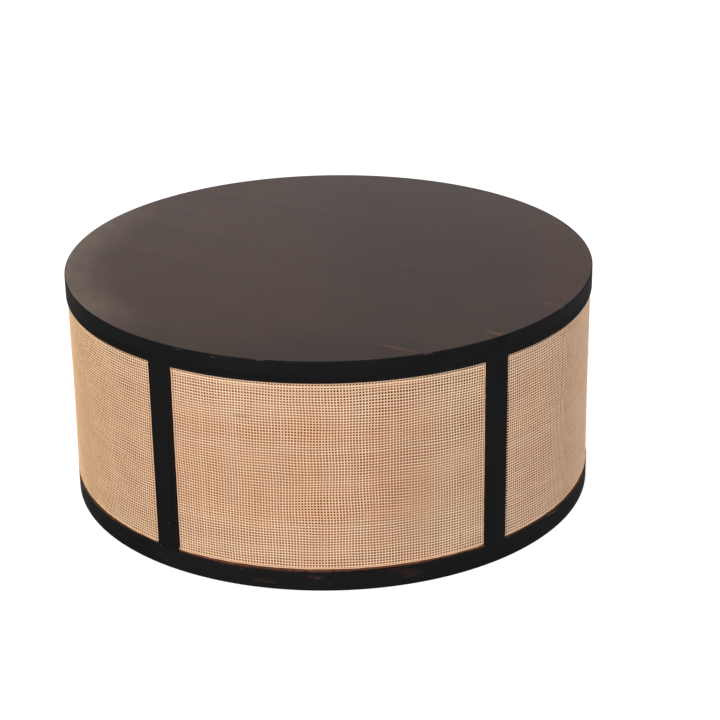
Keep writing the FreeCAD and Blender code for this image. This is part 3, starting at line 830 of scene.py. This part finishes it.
def weave(k):
    """The strands of bay k, which stand for its cane node."""
    rng = np.random.default_rng(WEAVE_SEED + k)
    border = BORDERS[k]
    arcs = spread(-CANE_HALF + border.first * MM, CANE_HALF - border.last * MM, PITCH_ARC,
                  [border.second * MM], [border.before * MM], rng, 0.08 * MM)
    highs = spread(CANE_LOW + FIRST_ROW, CANE_HIGH - LAST_ROW, PITCH_HIGH, [], LAST_SPACES, rng, 0.07 * MM)
    cross = crossings(k, arcs, highs)
    over = np.where((np.arange(len(arcs))[:, None] + np.arange(len(highs))[None]) % 2, 1.0, -1.0)
    low_ends, high_ends, left_ends, right_ends = strand_ends(k, len(arcs), len(highs), rng)
    warp = woven_line(cross, over, low_ends, high_ends, 1)
    weft = woven_line(cross.transpose(1, 0, 2), -over.T, left_ends, right_ends, 0)

    warp_wide = strand_widths(WARP_WIDE, warp, rng)
    weft_wide = strand_widths(WEFT_WIDE, weft, rng)
    for start, end, soft, warp_extra, weft_extra in rows_for(k, CLOSINGS):
        warp_wide += window(warp[..., 0], start * MM, end * MM, soft * MM) * warp_extra * MM
        weft_wide += window(weft[..., 0], start * MM, end * MM, soft * MM) * weft_extra * MM
    weft_wide[-1] = TOP_STRAND
    weft_wide[-2] += SECOND_STRAND - WEFT_WIDE
    for at, start, end, extra in rows_for(k, BROAD_ROWS):
        row = np.argmin(abs(highs - at * MM))
        weft_wide[row] += window(weft[row, :, 0], start * MM, end * MM, 20 * MM) * extra * MM

    loose = loose_strands(k, weft, highs)
    # the sheet on the right varies most from strand to strand
    pieces = [("cane_warp", warp, warp_wide, WARP_SKIN, 1.4 if k == 1 else 0.9),
              ("cane_weft", weft, weft_wide, WEFT_SKIN, 0.8),
              ("cane_float", loose, np.full(loose.shape[:2], FLOAT_WIDE), PALE_SKIN, 1.0)]
    pieces += [(*edge, REED_SKIN, 1.0) for edge in edge_strands(k, rng)]
    for name, line, width, skin, uneven in pieces:
        piece = strands(f"{name}_{k + 1}", k, line, width, STRAND_THICK, rng, skin, uneven=uneven)
        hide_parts(f"cane_panel_{k + 1}")


REED_STEP, REED_BEND, BEND_STEPS, REED_LIFT = 2 * MM, 3.0 * MM, 5, 0.35 * MM
# The three ridges of a reed: place across it and width, as shares of its width.
REED_RIDGES = ((-0.32, 0.42), (0.02, 0.46), (0.33, 0.40))


def reed_route(left, foot, right):
    """Down the left side, along the foot and up the right: arc, height and width. A side of 0 has none."""
    at_left = -CANE_HALF - CLEAR * 0.6 + left / 2
    at_right = CANE_HALF - 0.5 * MM - right / 2
    at_foot = RAIL_HIGH + 0.7 * MM + foot / 2
    head = CANE_HIGH - 0.2 * MM
    shares = np.linspace(0, 1, BEND_STEPS)
    bend = list(zip(np.sin(shares * math.pi / 2), np.cos(shares * math.pi / 2), shares))
    rows = []
    if left:
        rows += [(at_left, high, left) for high in np.arange(head, at_foot + REED_BEND, -REED_STEP)]
        rows += [(at_left + REED_BEND * (1 - c), at_foot + REED_BEND * (1 - s),
                  left + (foot - left) * share) for s, c, share in bend]
    start = at_left + REED_BEND + REED_STEP if left else -CANE_HALF
    rows += [(arc, at_foot, foot) for arc in np.arange(start, at_right - REED_BEND, REED_STEP)]
    if right:
        rows += [(at_right - REED_BEND * (1 - s), at_foot + REED_BEND * (1 - c),
                  foot + (right - foot) * share) for s, c, share in bend]
        rows += [(at_right, high, right)
                 for high in np.arange(at_foot + REED_BEND + REED_STEP, head, REED_STEP)]
    return np.array(rows)


def reed(k):
    """The split reeds that hold the sheet in its rebate, down the sides and along the foot of bay k."""
    rng = np.random.default_rng(REED_SEED + k)
    beside_front = k in (1, BAYS - 1)
    rise = (0.6 if beside_front else 1.2) * MM
    uneven = 0.32 if k == BAYS - 1 else 0.18
    border = BORDERS[k]
    rows = reed_route(border.reed_left * MM, border.reed_foot * MM, border.reed_right * MM)
    count = len(rows)
    ahead = np.gradient(rows[:, :2], axis=0)
    inward = np.stack([-ahead[:, 1], ahead[:, 0]], -1) / np.linalg.norm(ahead, axis=1, keepdims=True)
    out = np.full((count, 1), REED_LIFT)
    lines, wides, rises = [], [], []
    for share, part in REED_RIDGES:
        shift = rows[:, 2] * (share + wander(rng, 1, count, 5, 0.06)[0])
        lines.append(np.concatenate([rows[:, :2] + inward * shift[:, None], out], 1))
        wides.append(rows[:, 2] * part * np.clip(1 + wander(rng, 1, count, 4, uneven)[0], 0.35, 1.5))
        rises.append(rise * (1 - 0.5 * abs(share) + wander(rng, 1, count, 4, uneven)[0]))
    lift = np.clip(rises, 0.2 * MM, 1.7 * MM)
    skin = DULL_REED_SKIN if beside_front else REED_SKIN
    piece = strands(f"cane_reed_{k + 1}", k, np.array(lines), np.array(wides), lift, rng, skin, ROUND)
    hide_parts(f"cane_panel_{k + 1}")


# Places where fibres stand off the cane's edge: bay, arc, height and how many. In mm.
TUFTS = ((0, -230, 318, 6), (0, -222, 34, 6), (0, -211, 34, 4), (0, -190, 34, 5), (0, -178, 34, 4),
         (0, 229, 36, 7), (0, 214, 37, 4), (0, 182, 38, 6), (0, 194, 38, 4), (0, 166, 37, 4),
         (0, 146, 38, 4), (0, 120, 37, 3), (0, 96, 37, 3), (0, 60, 37, 2), (0, -230, 180, 2),
         (0, -230, 36, 6), (0, -30, 37, 2), (1, -228, 35, 6), (1, 60, 38, 3), (4, 226, 36, 8),
         (4, 190, 37, 3), (4, 150, 38, 3), (4, 60, 37, 3), (2, -120, 38, 4), (2, 227, 300, 3),
         (3, 40, 38, 4), (3, -228, 60, 3))
FIBRE_POINTS, FIBRE_THICK = 6, 0.22 * MM


def tufts(k):
    """Loose ends of fibre along the border of bay k."""
    rng = np.random.default_rng(TUFT_SEED + k)
    share = np.linspace(0, 1, FIBRE_POINTS)
    lines = []
    for arc, high, count in rows_for(k, TUFTS):
        for _ in range(count):
            heading = rng.uniform(0, 2 * np.pi)
            step = rng.uniform(2.0, 5.0) * MM / FIBRE_POINTS
            curl = heading + rng.normal(0, 0.9) * share
            at = np.array([arc, high]) * MM + rng.normal(0, 2.0, 2) * MM
            path = at + np.cumsum(np.stack([np.cos(curl), np.sin(curl)], -1), 0) * step
            out = 0.9 * MM + share * rng.uniform(0.2, 1.2) * MM
            path[:, 1] = np.clip(path[:, 1], RAIL_HIGH - 1.5 * MM, BAND_LOW)
            lines.append(np.concatenate([path, out[:, None]], 1))
    taper = np.linspace(1.0, 0.35, FIBRE_POINTS)[None] * rng.uniform(0.4, 0.8, (len(lines), 1)) * MM
    piece = strands(f"cane_tufts_{k + 1}", k, np.array(lines), taper, FIBRE_THICK, rng, WARP_SKIN)
    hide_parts(f"cane_panel_{k + 1}")


for bay in range(BAYS):
    weave(bay)
    reed(bay)
    tufts(bay)


# The screws under the battens

BATTEN_PLACE = 150 * MM  # from the drum's axis
SCREW_SPOTS = (-0.27, -0.135, 0.0, 0.135, 0.27)  # along a batten
SCREW_R, SCREW_RISE = 4.2 * MM, 2.2 * MM
RECESS_HALF, RECESS_LONG, RECESS_DEEP = 0.55 * MM, 2.3 * MM, 1.3 * MM
SCREW_RINGS, SCREW_SPOKES = 12, 48


def screw_heads(name, number):
    """Domed heads with a cross recess in the under face of one batten."""
    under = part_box(name)[0].z
    radius = SCREW_R * np.sin(np.linspace(0.04, 1.0, SCREW_RINGS) * math.pi / 2)
    turn = np.linspace(0, 2 * math.pi, SCREW_SPOKES, endpoint=False)
    grid_x, grid_y = radius[:, None] * np.cos(turn), radius[:, None] * np.sin(turn)
    drop = SCREW_RISE * np.sqrt(np.clip(1 - (radius / SCREW_R) ** 2, 0, 1))[:, None] * np.ones(SCREW_SPOKES)
    arms = [(abs(a) < RECESS_HALF) & (abs(b) < RECESS_LONG)
            for a, b in ((grid_x, grid_y), (grid_y, grid_x))]
    drop = np.where(arms[0] | arms[1], drop - RECESS_DEEP, drop)
    c, s = math.cos(GRAIN_TURN), math.sin(GRAIN_TURN)
    points, quads, caps = [], [], []
    side = BATTEN_PLACE * (1 - 2 * number)  # one on each side of the axis
    for at in SCREW_SPOTS:
        middle = (side * c - at * s, side * s + at * c)
        start = sum(len(group) for group in points)
        points.append(np.stack([middle[0] + grid_x, middle[1] + grid_y, under - drop], -1).reshape(-1, 3))
        index = start + np.arange(SCREW_RINGS * SCREW_SPOKES).reshape(SCREW_RINGS, SCREW_SPOKES)
        after = np.roll(index, -1, 1)
        quads.append(np.stack([index[:-1], index[1:], after[1:], after[:-1]], -1).reshape(-1, 4))
        caps.append([index[0], index[-1][::-1]])
    faces = [np.concatenate(quads), np.concatenate(caps)]
    mesh_piece(f"{name}_screws", np.concatenate(points), faces, STEEL)


for number in range(2):
    screw_heads(f"batten_{number + 1}", number)


# Floor, light and camera

def seen_by_eye(g):
    """1 for a camera, mirror or glass ray and 0 for the light that falls on things."""
    path = g.node("LightPath")
    rays = ("Is Camera Ray", "Is Glossy Ray", "Is Transmission Ray")
    return g.most(*(Socket(g, path.outputs[name]) for name in rays))


FLOOR_R, FLOOR_CORNERS = 8.0, 96
FLOOR_GREY, FLOOR_GLOW = 0.45, 0.74
ROOM_LIGHT = 0.64
# Name, azimuth and elevation in degrees, distance, size, and share of a white surface's full light
LAMPS = (("key", -20, 33, 4.0, 2.6, 0.55), ("right", 110, 30, 4.5, 2.6, 0.20),
         ("left", -105, 25, 4.5, 2.6, 0.07))


def lay_floor():
    """A pale disc that takes a soft shadow and is white to the eye elsewhere."""
    mesh = bpy.data.meshes.new("floor")
    ring = [(FLOOR_R * math.cos(a), FLOOR_R * math.sin(a), 0)
            for a in np.linspace(0, 2 * math.pi, FLOOR_CORNERS, endpoint=False)]
    mesh.from_pydata(ring, [], [tuple(range(FLOOR_CORNERS))])
    g = Graph("pale_floor")
    matt, glow = g.node("BsdfDiffuse"), g.node("Emission")
    g.feed(matt.inputs["Color"], (FLOOR_GREY, FLOOR_GREY, FLOOR_GREY))
    g.feed(glow.inputs["Strength"], seen_by_eye(g) * FLOOR_GLOW)
    both, end = g.node("AddShader"), g.node("OutputMaterial")
    g.feed(both.inputs[0], Socket(g, matt.outputs[0]))
    g.feed(both.inputs[1], Socket(g, glow.outputs[0]))
    g.feed(end.inputs[0], Socket(g, both.outputs[0]))
    mesh.materials.append(g.owner)
    place_new("floor", mesh)


def light_world():
    """An even white room, which the eye sees at full white."""
    g = Graph("studio", "worlds")
    bpy.context.scene.world = g.owner
    mix, end = g.node("MixShader"), g.node("OutputWorld")
    g.feed(mix.inputs[0], seen_by_eye(g))
    for place, strength in ((1, ROOM_LIGHT), (2, 1.0)):
        light = g.node("Background")
        g.feed(light.inputs["Color"], (1.0, 1.0, 1.0))
        g.feed(light.inputs["Strength"], strength)
        g.feed(mix.inputs[place], Socket(g, light.outputs[0]))
    g.feed(end.inputs[0], Socket(g, mix.outputs[0]))


def soft_lamp(name, azimuth, elevation, distance, size, share):
    """A square lamp that adds that share of a white surface's full light where it faces it."""
    data = bpy.data.lights.new(name, "AREA")
    data.size = size
    data.energy = share * math.pi ** 2 * distance ** 2
    lamp = place_new(name, data)
    a, e = math.radians(azimuth), math.radians(elevation)
    back = Vector((math.sin(a) * math.cos(e), -math.cos(a) * math.cos(e), math.sin(e)))
    lamp.location = Vector((0, 0, TOP_Z / 2)) + back * distance
    lamp.rotation_euler = back.to_track_quat("Z", "Y").to_euler()


# The camera that fits the photograph's outline. The lens is given in pixels of its 720. Angles in radians:
# SWING is a last turn of the camera about the drum's axis.
PHOTO_WIDE, LENS_PIXELS, SENSOR_WIDE = 720, 2016.7, 36
CAMERA_PLACE = Vector((0, -2.88346, 1.43238))
YAW, PITCH, ROLL, SWING = 0.01574, 0.40937, -0.01452, 0.01277


def set_camera():
    """The photograph's view."""
    ahead = Vector((math.sin(YAW) * math.cos(PITCH), math.cos(YAW) * math.cos(PITCH), -math.sin(PITCH)))
    level = Vector((math.cos(YAW), -math.sin(YAW), 0))
    upright = level.cross(ahead)
    right = math.cos(ROLL) * level + math.sin(ROLL) * upright
    up = math.cos(ROLL) * upright - math.sin(ROLL) * level
    pose = Matrix.Identity(4)
    for column, axis in enumerate((right, up, -ahead, CAMERA_PLACE)):
        pose.col[column][:3] = axis
    data = bpy.data.cameras.new("camera")
    data.sensor_fit = "HORIZONTAL"
    data.sensor_width = SENSOR_WIDE
    data.lens = SENSOR_WIDE * LENS_PIXELS / PHOTO_WIDE
    camera = place_new("camera", data)
    camera.matrix_world = Matrix.Rotation(SWING, 4, "Z") @ pose
    bpy.context.scene.camera = camera


lay_floor()
light_world()
for settings in LAMPS:
    soft_lamp(*settings)
set_camera()
bpy.context.scene.view_settings.view_transform = "Standard"
